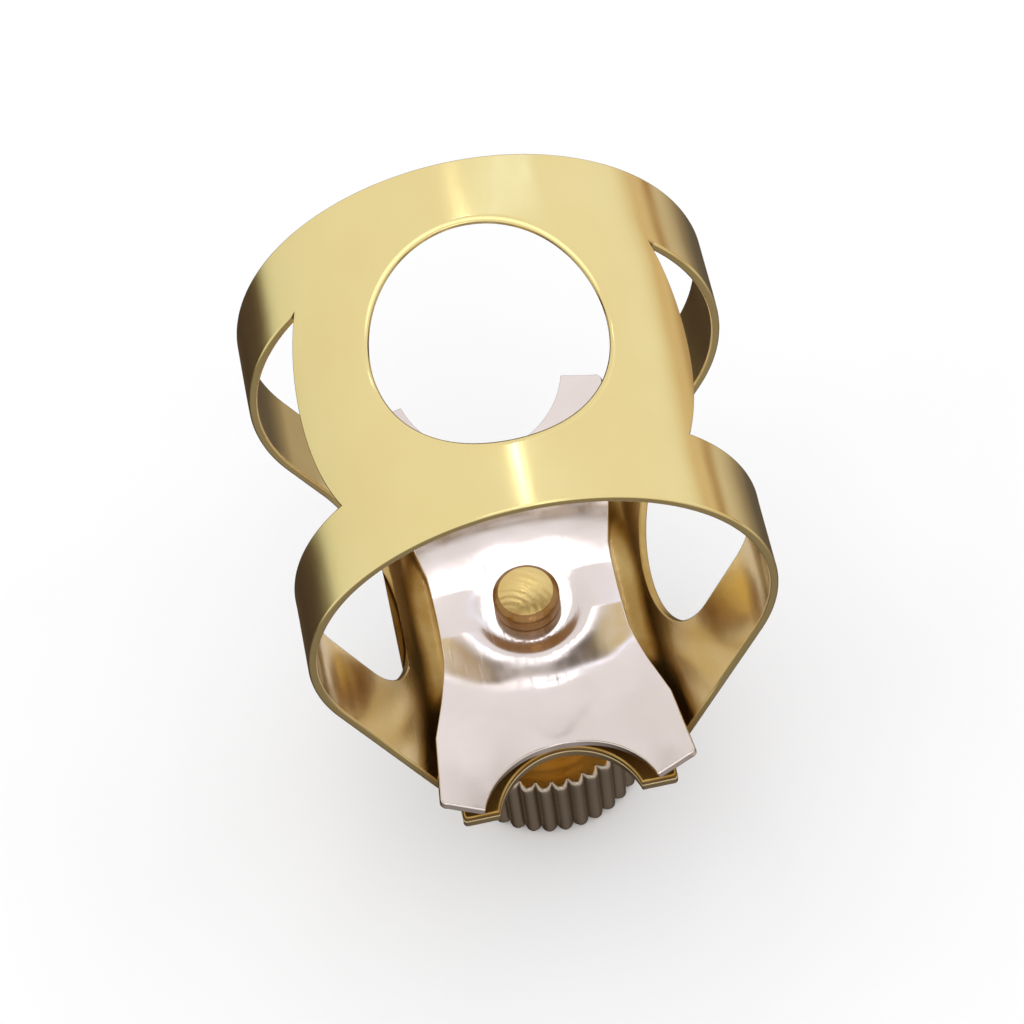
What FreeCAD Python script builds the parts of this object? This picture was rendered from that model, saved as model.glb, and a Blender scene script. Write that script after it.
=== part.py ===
import FreeCAD, Part
import math
import os

# Saxophone ligature with a single thumbscrew and a floating pressure plate.
# Units are millimetres.  The mouthpiece axis is Y: the front ring, nearest the
# mouthpiece tip, is at -Y and the larger rear ring is at +Y.  The saddle is on top
# (+Z) and the thumbscrew below it.  The origin is where the mouthpiece axis meets
# the screw axis.

# ---- driving dimensions ------------------------------------------------------

SHEET = 0.5                  # thickness of the brass sheet
FRONT_R = 12.9               # outer radius of the front ring
REAR_R = 13.6                # outer radius of the rear ring
SHELL_LEN = 22.0             # from ring mouth to ring mouth
RING_EDGE = 6.1              # |y| where a ring ends and the saddle's taper begins

BRIDGE_BOTTOM = -16.8        # outside face of the flat bridge
BRIDGE_HALF = 7.08           # half width of that face, measured to its sharp corner
BRIDGE_BEND = 1.9            # outside radius of the bend between bridge and walls
TAB_END = 13.0               # |y| of the bridge's end tabs
TAB_HALF = 6.4               # half width of the tabs and of the strap below them
BRIDGE_NOTCH_R = 4.4         # round notch in each end of the bridge
BRIDGE_NOTCH_Y = 14.2        # |y| of its centre

HOLE_R = 6.75                # round viewing hole, measured on the flat sheet
SADDLE_EDGE_DEG = 50.0       # mean angle of the saddle's side edges from the top
SADDLE_BOW = 1.5             # how far those edges bow outwards at mid-length
WINDOW_R = 6.15              # half length of the side windows, and radius of their foot
WINDOW_FLOOR = -15.4         # lowest point of that round foot

PLATE_T = 0.5                # pressure plate sheet
PLATE_END = 14.1             # |y| of the plate's contact tips
PLATE_HALF = 7.4             # half width of the plate's ends
PLATE_SHOULDER_Y = 8.6       # |y| where the flare from the waist ends
PLATE_SHOULDER_X = 7.0       # half width there
PLATE_CORNER_R = 0.4         # radius of the outer corners
PLATE_TIP_RUN = 0.65         # how far the contact tips stand out past the corners
PLATE_BLANK = 8.05           # half width of the curved blank that PLATE_SHAPE describes
PLATE_WAIST = 5.55           # half width of its waist
PLATE_NOTCH_R = 5.25         # round notch in each end of the plate
PLATE_NOTCH_Y = 15.6         # |y| of its centre
PLATE_TIP_X = 5.05           # half width of the notch at the contact tips
PLATE_GAP = 0.1              # rest of the plate above the bridge

THREAD_R = 2.0               # M4 x 0.7 thread, modelled plain
THREAD_CLEAR = 0.05          # radial running clearance of the thread
NECK_R = 1.3                 # neck that carries the plate
NECK_CLEAR = 0.06            # radial clearance of the neck in the plate
END_PLAY = 0.05              # axial play of the plate between shoulder and cap
STRAP_T = 0.6                # strap under the bridge, in one piece with the boss
BOSS_R = 3.5                 # threaded boss below the strap
BOSS_SPIGOT_R = 2.75         # its spigot, brazed into the bridge
BOSS_LEN = 3.6
BOSS_CHAMFER = 0.4
CAP_PROUD = 1.4              # retaining cap above the plate
CAP_WALL = 0.45              # cap metal above the end of the neck
CAP_CHAMFER = 0.22

KNOB_R = 6.4                 # knob over its flutes
KNOB_TOP = -28.4
KNOB_H = 6.1
KNOB_FLUTES = 36
KNOB_FLUTE_DEPTH = 0.42
KNOB_CHAMFER = 0.35
KNOB_SOCKET = 3.2            # depth of the socket that takes the spindle

# ---- derived positions -------------------------------------------------------

BRIDGE_TOP = BRIDGE_BOTTOM + SHEET
STRAP_BOTTOM = BRIDGE_BOTTOM - STRAP_T
PLATE_UNDER = BRIDGE_TOP + PLATE_GAP
PLATE_SEAT = PLATE_UNDER + PLATE_T
SHOULDER_Z = PLATE_UNDER - END_PLAY
CAP_UNDER = PLATE_SEAT + END_PLAY
CAP_TOP = PLATE_SEAT + CAP_PROUD
SPINDLE_END = KNOB_TOP - KNOB_SOCKET

# The plate's surface: (|y|, height of the centre line above the seat,
# rise of the blank's side edges above the centre line).
PLATE_SHAPE = [
    (0.0, 0.0, 0.1),
    (3.5, 0.08, 0.2),
    (7.0, 0.65, 0.95),
    (10.5, 1.2, 1.2),
    (15.0, 1.95, 1.25),
]


def vec(x, y, z):
    return FreeCAD.Vector(x, y, z)


def arc(a, b, c):
    return Part.Arc(a, b, c).toShape()


def line(a, b):
    return Part.LineSegment(a, b).toShape()


def cylinder(radius, z_low, z_high, x=0.0, y=0.0):
    return Part.makeCylinder(radius, z_high - z_low, vec(x, y, z_low))


def turned(profile):
    """Solid of revolution about Z from (radius, z) points."""
    points = [vec(r, 0, z) for r, z in profile]
    face = Part.Face(Part.makePolygon(points + [points[0]]))
    return face.revolve(vec(0, 0, 0), vec(0, 0, 1), 360)


def save(shape, node):
    solid = shape.Solids[0]
    print(node, "solids", len(shape.Solids), "valid", solid.isValid(), "mm3", round(solid.Volume, 2))
    solid.exportStep("parts/" + node + ".step")


# ---- band shell --------------------------------------------------------------

def outline(ring_r, inset, y):
    """Closed outline of the shell at station y, inset from its outside.

    The ring's arc runs round to where straight walls leave it in tangent and
    close in on the flat bridge.  Angles are taken from straight down.
    """
    reach = math.hypot(BRIDGE_HALF, BRIDGE_BOTTOM)
    leave = math.atan2(BRIDGE_HALF, -BRIDGE_BOTTOM) + math.acos(ring_r / reach)
    radius = ring_r - inset
    floor = BRIDGE_BOTTOM + inset
    bend = BRIDGE_BEND - inset
    nx = math.sin(leave)
    nz = -math.cos(leave)
    corner_x = (radius - floor * nz) / nx
    setback = bend * math.tan(leave / 2)
    centre = vec(corner_x - setback, y, floor + bend)
    middle = centre + vec(nx, 0, nz - 1).normalize() * bend
    # Points down the right-hand side: wall top, wall foot, bend, floor.
    right = [
        vec(radius * nx, y, radius * nz),
        vec(corner_x - nz * setback, y, floor + nx * setback),
        middle,
        vec(corner_x - setback, y, floor),
    ]
    left = [vec(-p.x, p.y, p.z) for p in right]
    edges = [
        arc(left[0], vec(0, y, radius), right[0]),
        line(right[0], right[1]),
        arc(right[1], right[2], right[3]),
        line(right[3], left[3]),
        arc(left[3], left[2], left[1]),
        line(left[1], left[0]),
    ]
    return Part.Wire(edges)


def tube(inset):
    """Solid inside the outline: front ring, tapered middle and rear ring."""
    end = SHELL_LEN / 2
    stations = [(FRONT_R, -end), (FRONT_R, -RING_EDGE), (REAR_R, RING_EDGE), (REAR_R, end)]
    spans = []
    for (r0, y0), (r1, y1) in zip(stations, stations[1:]):
        wires = [outline(r0, inset, y0), outline(r1, inset, y1)]
        spans.append(Part.makeLoft(wires, True, True))
    return spans[0].fuse(spans[1:]).removeSplitter()


def viewing_hole():
    """Cutter for the round hole: its wall is square to the sheet."""
    ring_r = (FRONT_R + REAR_R) / 2
    steps = 36
    wires = []
    for height in (ring_r * 0.6, ring_r * 1.3):
        points = []
        for i in range(steps):
            turn = 2 * math.pi * i / steps
            angle = HOLE_R * math.cos(turn) / ring_r
            points.append(vec(height * math.tan(angle), HOLE_R * math.sin(turn), height))
        curve = Part.BSplineCurve()
        curve.interpolate(Points=points, PeriodicFlag=True)
        wires.append(Part.Wire(curve.toShape()))
    return Part.makeLoft(wires, True, True)


def saddle_edge_cutter(side):
    """Cutter for one bowed side edge of the saddle, square to the sheet there."""
    angle = math.radians(SADDLE_EDGE_DEG)
    out = vec(side * math.sin(angle), 0, math.cos(angle))
    down = vec(side * math.cos(angle), 0, -math.sin(angle))
    near = out * (FRONT_R * 0.6)
    low = down * (FRONT_R * 0.5)
    front = vec(0, -RING_EDGE, 0)
    rear = vec(0, RING_EDGE, 0)
    edge_end = down * (-SADDLE_BOW / 2)
    edge_mid = down * (SADDLE_BOW / 2)
    a = near + front + edge_end
    b = near + rear + edge_end
    c = near + rear + low
    d = near + front + low
    edges = [arc(a, near + edge_mid, b), line(b, c), line(c, d), line(d, a)]
    return Part.Face(Part.Wire(edges)).extrude(out * FRONT_R)


def window_cutter():
    """Cutter through both sides for the round-footed windows between the rings."""
    x = REAR_R * 1.2
    foot_z = WINDOW_FLOOR + WINDOW_R
    top = FRONT_R * 0.3
    upper = Part.makeBox(2 * x, 2 * WINDOW_R, top - foot_z, vec(-x, -WINDOW_R, foot_z))
    foot = Part.makeCylinder(WINDOW_R, 2 * x, vec(-x, 0, foot_z), vec(1, 0, 0))
    return upper.fuse(foot)


def notch_cutters():
    """Cutters for the round notches in the ends of the bridge and its strap."""
    low = STRAP_BOTTOM - 1
    high = BRIDGE_TOP + 1
    return [cylinder(BRIDGE_NOTCH_R, low, high, y=end * BRIDGE_NOTCH_Y) for end in (-1, 1)]


def make_shell():
    shell = tube(0).cut(tube(SHEET))
    mouth = SHELL_LEN / 2
    tabs = [
        Part.makeBox(2 * TAB_HALF, TAB_END - mouth, SHEET, vec(-TAB_HALF, y, BRIDGE_BOTTOM))
        for y in (-TAB_END, mouth)
    ]
    shell = shell.fuse(tabs)
    cutters = [
        viewing_hole(),
        window_cutter(),
        saddle_edge_cutter(-1),
        saddle_edge_cutter(1),
        cylinder(BOSS_SPIGOT_R, BRIDGE_BOTTOM - 1, BRIDGE_TOP + 1),
    ]
    return shell.cut(cutters + notch_cutters()).removeSplitter()


def make_boss():
    """Strap brazed under the bridge, with the threaded boss and its spigot.

    The spigot passes through the bridge and ends flush with its inside.
    """
    low = STRAP_BOTTOM - BOSS_LEN
    strap = Part.makeBox(2 * TAB_HALF, 2 * TAB_END, STRAP_T, vec(-TAB_HALF, -TAB_END, STRAP_BOTTOM))
    stem = turned([
        (0, BRIDGE_TOP),
        (BOSS_SPIGOT_R, BRIDGE_TOP),
        (BOSS_SPIGOT_R, BRIDGE_BOTTOM),
        (BOSS_R, BRIDGE_BOTTOM),
        (BOSS_R, low + BOSS_CHAMFER),
        (BOSS_R - BOSS_CHAMFER, low),
        (0, low),
    ])
    bore = turned([
        (0, BRIDGE_TOP + 1),
        (THREAD_R, BRIDGE_TOP + 1),
        (THREAD_R, low + BOSS_CHAMFER),
        (THREAD_R + BOSS_CHAMFER, low),
        (THREAD_R + BOSS_CHAMFER, low - 1),
        (0, low - 1),
    ])
    return strap.fuse(stem).cut(notch_cutters() + [bore]).removeSplitter()


# ---- pressure plate ----------------------------------------------------------

def plate_blank():
    """Curved sheet: the ends rise towards the reed and their sides turn up."""
    half = PLATE_BLANK
    mirrored = [(-y, lift, rise) for y, lift, rise in reversed(PLATE_SHAPE[1:])]
    wires = []
    for y, lift, rise in mirrored + PLATE_SHAPE:
        low = PLATE_UNDER + lift
        high = low + PLATE_T
        a = vec(-half, y, low + rise)
        b = vec(half, y, low + rise)
        c = vec(half, y, high + rise)
        d = vec(-half, y, high + rise)
        edges = [arc(a, vec(0, y, low), b), line(b, c), arc(c, vec(0, y, high), d), line(d, a)]
        wires.append(Part.Wire(edges))
    return Part.makeLoft(wires, True, False)


def plate_outline():
    """Waisted outline with a round notch in each end, as a tall prism."""
    flare = (6.3, 5.9)
    waist = (5.65, 3.0)
    corner = PLATE_CORNER_R
    end = PLATE_END - PLATE_TIP_RUN
    low = PLATE_UNDER - 2
    height = 8

    def p(x, y):
        return vec(x, y, low)

    def side(sx):
        """Edges along one side, from its front corner to its rear corner."""
        rise = math.sqrt(0.5)
        edges = []
        for sy in (-1, 1):
            run = [
                arc(
                    p(sx * (PLATE_HALF - corner), sy * end),
                    p(sx * (PLATE_HALF - corner * (1 - rise)), sy * (end - corner * (1 - rise))),
                    p(sx * PLATE_HALF, sy * (end - corner)),
                ),
                line(
                    p(sx * PLATE_HALF, sy * (end - corner)),
                    p(sx * PLATE_SHOULDER_X, sy * PLATE_SHOULDER_Y),
                ),
                arc(
                    p(sx * PLATE_SHOULDER_X, sy * PLATE_SHOULDER_Y),
                    p(sx * flare[0], sy * flare[1]),
                    p(sx * waist[0], sy * waist[1]),
                ),
            ]
            edges += run
        edges.append(
            arc(
                p(sx * waist[0], -waist[1]),
                p(sx * PLATE_WAIST, 0),
                p(sx * waist[0], waist[1]),
            )
        )
        return edges

    edges = side(-1) + side(1)
    for sy in (-1, 1):
        for sx in (-1, 1):
            edges.append(line(p(sx * (PLATE_HALF - corner), sy * end), p(sx * PLATE_TIP_X, sy * PLATE_END)))
        edges.append(line(p(-PLATE_TIP_X, sy * PLATE_END), p(PLATE_TIP_X, sy * PLATE_END)))
    wire = Part.Wire(Part.__sortEdges__(edges))
    prism = Part.Face(wire).extrude(vec(0, 0, height))
    for sy in (-1, 1):
        prism = prism.cut(cylinder(PLATE_NOTCH_R, low - 1, low + height + 1, y=sy * PLATE_NOTCH_Y))
    return prism


def make_plate():
    hole = cylinder(NECK_R + NECK_CLEAR, PLATE_UNDER - 1, PLATE_SEAT + 1)
    return plate_blank().common(plate_outline()).cut(hole)


# ---- thumbscrew --------------------------------------------------------------

def make_spindle():
    """Threaded shank with the thin neck that carries the plate."""
    shank = THREAD_R - THREAD_CLEAR
    lead = 0.4
    return turned([
        (0, SPINDLE_END),
        (shank, SPINDLE_END),
        (shank, SHOULDER_Z - lead),
        (shank - lead, SHOULDER_Z),
        (NECK_R, SHOULDER_Z),
        (NECK_R, CAP_TOP - CAP_WALL),
        (0, CAP_TOP - CAP_WALL),
    ])


def make_cap():
    """Retaining cap fixed on the neck above the plate."""
    radius = THREAD_R
    return turned([
        (NECK_R, CAP_UNDER),
        (radius, CAP_UNDER),
        (radius, CAP_TOP - CAP_CHAMFER),
        (radius - CAP_CHAMFER, CAP_TOP),
        (0, CAP_TOP),
        (0, CAP_TOP - CAP_WALL),
        (NECK_R, CAP_TOP - CAP_WALL),
    ])


def make_knob():
    """Fluted knob with rounded ridges, bored for the spindle."""
    bottom = KNOB_TOP - KNOB_H
    pitch = 2 * math.pi / KNOB_FLUTES
    valley_r = KNOB_R - KNOB_FLUTE_DEPTH
    middle_r = KNOB_R - KNOB_FLUTE_DEPTH / 2

    def at(radius, turn):
        return vec(radius * math.cos(turn), radius * math.sin(turn), bottom)

    edges = []
    for i in range(KNOB_FLUTES):
        turn = i * pitch
        crest_from = at(middle_r, turn - pitch / 4)
        crest_to = at(middle_r, turn + pitch / 4)
        edges.append(arc(crest_from, at(KNOB_R, turn), crest_to))
        next_crest = at(middle_r, turn + 3 * pitch / 4)
        edges.append(arc(crest_to, at(valley_r, turn + pitch / 2), next_crest))
    fluted = Part.Face(Part.Wire(edges)).extrude(vec(0, 0, KNOB_H))
    edge_r = KNOB_R - KNOB_CHAMFER
    blank = turned([
        (0, bottom),
        (edge_r, bottom),
        (KNOB_R, bottom + KNOB_CHAMFER),
        (KNOB_R, KNOB_TOP - KNOB_CHAMFER),
        (edge_r, KNOB_TOP),
        (0, KNOB_TOP),
    ])
    socket = cylinder(THREAD_R - THREAD_CLEAR, SPINDLE_END, KNOB_TOP + 1)
    return fluted.common(blank).cut(socket)


# ---- build -------------------------------------------------------------------

os.makedirs("parts", exist_ok=True)
save(make_shell(), "band_shell")
save(make_boss(), "threaded_boss")
save(make_plate(), "pressure_plate")
save(make_spindle(), "screw_spindle")
save(make_cap(), "retaining_cap")
save(make_knob(), "knob")
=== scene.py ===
import math

import bpy
import numpy as np
from mathutils import Matrix, Vector
from mathutils.geometry import delaunay_2d_cdt


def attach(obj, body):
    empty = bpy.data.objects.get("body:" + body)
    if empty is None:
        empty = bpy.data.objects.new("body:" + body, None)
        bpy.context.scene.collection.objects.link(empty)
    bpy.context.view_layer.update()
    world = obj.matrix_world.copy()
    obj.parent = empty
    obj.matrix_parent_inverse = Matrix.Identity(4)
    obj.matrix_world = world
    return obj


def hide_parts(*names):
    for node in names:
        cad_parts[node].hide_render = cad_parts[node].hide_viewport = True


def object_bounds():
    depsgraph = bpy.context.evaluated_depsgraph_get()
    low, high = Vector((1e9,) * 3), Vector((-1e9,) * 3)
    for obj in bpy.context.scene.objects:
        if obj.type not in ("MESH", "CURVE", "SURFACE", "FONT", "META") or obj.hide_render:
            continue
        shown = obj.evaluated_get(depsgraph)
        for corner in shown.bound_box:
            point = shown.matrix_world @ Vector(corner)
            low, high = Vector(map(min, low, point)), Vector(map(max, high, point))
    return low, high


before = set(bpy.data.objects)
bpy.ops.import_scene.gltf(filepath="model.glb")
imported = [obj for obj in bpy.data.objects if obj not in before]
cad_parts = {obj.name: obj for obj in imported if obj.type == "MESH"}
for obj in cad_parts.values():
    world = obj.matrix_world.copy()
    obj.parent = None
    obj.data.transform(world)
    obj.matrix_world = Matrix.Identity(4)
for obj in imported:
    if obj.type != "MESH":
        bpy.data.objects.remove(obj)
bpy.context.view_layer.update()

# Lengths below are millimetres in the part's own frame, as in the CAD model;
# MM turns them into Blender's metres.
MM = 0.001

# ---- dimensions shared with the CAD model -------------------------------------

SHEET = 0.5
FRONT_R = 12.9
REAR_R = 13.6
MOUTH_Y = 11.0
RING_EDGE = 6.1
BRIDGE_BOTTOM = -16.8
BRIDGE_HALF = 7.08
BRIDGE_BEND = 1.9
TAB_END = 13.0
TAB_HALF = 6.4
TAB_CORNER_R = 0.25
STRAP_T = 0.6
STRAP_BOTTOM = BRIDGE_BOTTOM - STRAP_T
STRAP_EDGE_ROUND = 0.08
BRIDGE_NOTCH_R = 4.4
BRIDGE_NOTCH_Y = 14.2
HOLE_R = 6.75
EDGE_ROUND = 0.14            # rounding along the sheet's edges
HOLE_ROUND = (0.42, 0.22)    # width and depth of the rounding at the viewing hole
SADDLE_EDGE = math.radians(50.0)
SADDLE_BOW = 1.5
WINDOW_R = 6.15
WINDOW_FLOOR = -15.4

PLATE_UNDER = -16.2
PLATE_T = 0.5
PLATE_SEAT = PLATE_UNDER + PLATE_T
PLATE_HALF = 7.4
PLATE_SHOULDER_X = 7.0
PLATE_SHOULDER_Y = 8.6
PLATE_BLANK = 8.05           # half width of the blank, where the raised sides end
PLATE_WAIST_X = 5.55
PLATE_WAIST_POINT = (5.65, 3.0)
PLATE_FLARE_POINT = (6.3, 5.9)
PLATE_END = 14.1
PLATE_TIP_RUN = 0.65         # how far the ends slope from the tips to the corners
PLATE_CORNER_R = 0.4
PLATE_EDGE_ROUND = 0.09
PLATE_NOTCH_R = 5.25
PLATE_NOTCH_Y = 15.6
PLATE_TIP_X = 5.05

BOSS_SPIGOT_R = 2.75
BOSS_R = 3.5
BOSS_LEN = 3.6
BOSS_BOTTOM = STRAP_BOTTOM - BOSS_LEN
BOSS_BORE_R = 2.0
BOSS_CHAMFER = 0.4
THREAD_R = 1.95
THREAD_PITCH = 0.7
THREAD_DEPTH = 0.38
THREAD_FOOT = 2.4            # plain shank left above the knob
NECK_R = 1.3
NECK_CLEAR = 0.06
SHOULDER_Z = -16.25
CAP_UNDER = -15.65
CAP_TOP = -14.3
CAP_R = 2.0
CAP_SOCKET = 0.45            # depth of the cap's solid top above the neck
KNOB_R = 6.4
KNOB_TOP = -28.4
KNOB_BOTTOM = -34.5
KNOB_FLUTES = 36
KNOB_FLUTE_DEPTH = 0.42
KNOB_BEVEL = 0.35
KNOB_SOCKET = 3.2


# ---- mesh helpers ---------------------------------------------------------------

def new_piece(name, points, faces, normals, body, material, replaces):
    """Makes one object from points in millimetres, with its own shading normals."""
    mesh = bpy.data.meshes.new(name)
    mesh.from_pydata([tuple(p) for p in np.asarray(points) * MM], [], faces)
    mesh.validate()
    mesh.update()
    mesh.shade_smooth()
    if normals is not None and len(mesh.vertices) == len(normals):
        mesh.normals_split_custom_set_from_vertices([tuple(n) for n in normals])
    obj = bpy.data.objects.new(name, mesh)
    bpy.context.scene.collection.objects.link(obj)
    mesh.materials.append(material)
    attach(obj, body)
    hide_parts(replaces)
    return obj


def unit(v):
    """Rows of v scaled to length one."""
    return v / np.maximum(np.linalg.norm(v, axis=-1, keepdims=True), 1e-12)


def resample(points, step, closed):
    """Points along a polyline about one step apart, keeping sharp corners."""
    pts = np.asarray(points, float)
    if closed:
        pts = np.vstack([pts, pts[:1]])
    out = []
    for a, b in zip(pts, pts[1:]):
        count = max(1, int(math.ceil(np.linalg.norm(b - a) / step - 1e-6)))
        for k in range(count):
            out.append(a + (b - a) * k / count)
    if not closed:
        out.append(pts[-1])
    return np.array(out)


def arc_points(cx, cy, radius, start, end, step):
    """Points on an arc from one angle to another."""
    count = max(2, int(math.ceil(abs(end - start) * radius / step)))
    turns = np.linspace(start, end, count + 1)
    return np.stack([cx + radius * np.cos(turns), cy + radius * np.sin(turns)], -1)


def left_normals(points, closed):
    """Mitred normals of a polyline, pointing to its left."""
    pts = np.asarray(points, float)
    if closed:
        before = pts - np.roll(pts, 1, 0)
        after = np.roll(pts, -1, 0) - pts
    else:
        step = np.diff(pts, axis=0)
        before = np.vstack([step[:1], step])
        after = np.vstack([step, step[-1:]])
    n0 = unit(np.stack([-before[:, 1], before[:, 0]], -1))
    n1 = unit(np.stack([-after[:, 1], after[:, 0]], -1))
    mean = unit(n0 + n1)
    spread = np.maximum((mean * n0).sum(-1), 0.35)
    return mean / spread[:, None]


def inside(points, polygons):
    """Even-odd test of points against closed polygons."""
    x, y = points[:, 0], points[:, 1]
    state = np.zeros(len(points), bool)
    for poly in polygons:
        a = poly
        b = np.roll(poly, -1, 0)
        for (x0, y0), (x1, y1) in zip(a, b):
            if y0 == y1:
                continue
            crosses = ((y0 > y) != (y1 > y)) & (x < (x1 - x0) * (y - y0) / (y1 - y0) + x0)
            state ^= crosses
    return state


def flat_grid(polygons, step):
    """Staggered points inside the polygons, kept clear of their edges."""
    low = polygons[0].min(0)
    high = polygons[0].max(0)
    nx = int((high[0] - low[0]) / step)
    ny = int((high[1] - low[1]) / (step * 0.866))
    grid = []
    for j in range(1, ny):
        y = low[1] + (high[1] - low[1]) * j / ny
        for i in range(nx):
            grid.append((low[0] + (high[0] - low[0]) * (i + 0.25 + 0.5 * (j % 2)) / nx, y))
    grid = np.array(grid)
    grid = grid[inside(grid, polygons)]
    rim = np.vstack(polygons)
    near = np.full(len(grid), 1e9)
    for chunk in np.array_split(rim, max(1, len(rim) // 200)):
        d = np.linalg.norm(grid[:, None] - chunk[None], axis=-1).min(1)
        near = np.minimum(near, d)
    return grid[near > step * 0.55]


def triangulate(polygons, step):
    """Triangles of the flat region, and where each polygon point went."""
    coords = np.vstack(polygons + [flat_grid(polygons, step)])
    edges = []
    base = 0
    for poly in polygons:
        n = len(poly)
        edges += [(base + k, base + (k + 1) % n) for k in range(n)]
        base += n
    verts, _, tris, origin, _, _ = delaunay_2d_cdt([Vector(c) for c in coords], edges, [], 0, 1e-7)
    flat = np.array([tuple(v) for v in verts])
    tris = np.array([t for t in tris if len(t) == 3])
    tris = tris[inside(flat[tris].mean(1), polygons)]
    a, b, c = flat[tris[:, 0]], flat[tris[:, 1]], flat[tris[:, 2]]
    turn = (b[:, 0] - a[:, 0]) * (c[:, 1] - a[:, 1]) - (b[:, 1] - a[:, 1]) * (c[:, 0] - a[:, 0])
    tris = np.where((turn < 0)[:, None], tris[:, ::-1], tris)
    where = {}
    for k, ids in enumerate(origin):
        for i in ids:
            where[i] = k
    return flat, tris, where


def seam_sides(front, rear, seam, step):
    """The two straight sides that meet at the seam, from front to rear."""
    count = int((rear[0, 1] - front[0, 1]) / step) + 1
    ys = np.linspace(front[0, 1], rear[0, 1], count)[1:-1]
    left, right = [np.stack([np.full_like(ys, u), ys], -1) for u in seam]
    return left, right


def sheet_mesh(outer, holes, place, thickness, edge, step, seam=None, first_hole_edge=None):
    """Closed sheet-metal mesh with rounded edges.

    outer and holes are polylines in the flat sheet's own coordinates with the
    metal on their left.  outer is one closed loop, or with a seam two open runs
    (front left to right, rear right to left) whose ends meet when the sheet is
    rolled.  place(flat, depth) gives points and surface normals.
    """
    runs = [(np.asarray(r), seam is None) for r in outer] + [(np.asarray(h), True) for h in holes]
    # Width and depth of the rounding at each edge.
    rounding = [(edge, edge)] * len(runs)
    if first_hole_edge is not None:
        rounding[len(outer)] = first_hole_edge
    insets = []
    for (points, closed), (wide, _) in zip(runs, rounding):
        insets.append(points + left_normals(points, closed) * wide)
    # The flat region between the rounded edges, and where each run starts in it.
    if seam is None:
        polygons = insets
        starts = np.cumsum([0] + [len(poly) for poly in polygons[:-1]])
    else:
        front, rear = insets[0], insets[1]
        left, right = seam_sides(front, rear, seam, step)
        polygons = [np.vstack([front, right, rear, left[::-1]])] + insets[2:]
        starts = [0, len(front) + len(right)]
        starts += list(np.cumsum([len(poly) for poly in polygons[:-1]]))
    flat, tris, where = triangulate(polygons, step)
    count = len(flat)
    out_p, out_n = place(flat, 0.0)
    in_p, in_n = place(flat, thickness)
    points = [out_p, in_p]
    normals = [out_n, -in_n]
    faces = [tuple(int(i) for i in t) for t in tris]
    faces += [tuple(int(i) + count for i in t[::-1]) for t in tris]
    total = 2 * count
    quarter = [math.radians(v) for v in (30, 60, 90)]
    for (run, closed), inset, (wide, deep), start in zip(runs, insets, rounding, starts):
        n = len(run)
        first = np.array([where[start + k] for k in range(n)])
        rows = []
        steps = [(v, deep * (1 - math.cos(v)), 1) for v in quarter]
        steps += [(v, thickness - deep * (1 - math.cos(v)), -1) for v in reversed(quarter)]
        for angle, depth, facing in steps:
            spot = run + (inset - run) * (1 - math.sin(angle))
            p, surface_n = place(spot, depth)
            inner, _ = place(inset, depth)
            rim, _ = place(run, depth)
            outward = unit(rim - inner)
            rows.append(np.arange(total, total + n))
            points.append(p)
            tilt = surface_n * math.cos(angle) * wide * facing + outward * math.sin(angle) * deep
            normals.append(unit(tilt))
            total += n
        chain = [first] + rows + [first + count]
        last = n if closed else n - 1
        for upper, lower in zip(chain, chain[1:]):
            for k in range(last):
                m = (k + 1) % n
                faces.append((int(upper[m]), int(upper[k]), int(lower[k]), int(lower[m])))
    points = np.vstack(points)
    normals = unit(np.vstack(normals))
    if seam is not None:
        points, normals, faces = weld(points, normals, faces)
    return points, faces, normals


def weld(points, normals, faces):
    """Joins points that lie on each other, as along a rolled sheet's seam."""
    keys = {}
    new = np.zeros(len(points), int)
    kept = []
    for i, p in enumerate(points):
        key = tuple(np.round(p * 2000).astype(int))
        if key not in keys:
            keys[key] = len(kept)
            kept.append(i)
        new[i] = keys[key]
    fresh = []
    for face in faces:
        f = tuple(int(new[i]) for i in face)
        f = tuple(v for k, v in enumerate(f) if v != f[k - 1])
        if len(set(f)) >= 3:
            fresh.append(f)
    return points[kept], normals[kept], fresh


def ring(radius, z, turns):
    """Points of one ring about Z."""
    return np.stack([radius * np.cos(turns), radius * np.sin(turns), np.full(len(turns), z)], -1)


def full_turn(segments):
    """Angles of a ring's points."""
    return np.linspace(0, 2 * math.pi, segments, endpoint=False)


def lathe(profile, segments, radius_at=None):
    """Closed solid of revolution about Z from (radius, z) points, top to bottom.

    radius_at(radius, z, turns) varies the radius round a ring, as for a thread.
    """
    prof = np.asarray(profile, float)
    turns = full_turn(segments)
    rings = []
    faces = []
    for r, z in prof:
        radius = np.full(segments, r)
        if radius_at is not None:
            radius = radius_at(r, z, turns)
        rings.append(ring(radius, z, turns))
    for k in range(len(prof) - 1):
        for i in range(segments):
            j = (i + 1) % segments
            upper = k * segments
            lower = upper + segments
            faces.append((upper + i, lower + i, lower + j, upper + j))
    faces.append(tuple(range(segments)))
    end = (len(prof) - 1) * segments
    faces.append(tuple(range(end + segments - 1, end - 1, -1)))
    return np.vstack(rings), faces


def finish_lathe(obj, angle=32.0):
    """Crisp edges where the profile turns by more than an angle in degrees."""
    obj.data.set_sharp_from_angle(angle=math.radians(angle))
    return obj


# ---- node materials ---------------------------------------------------------------

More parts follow.
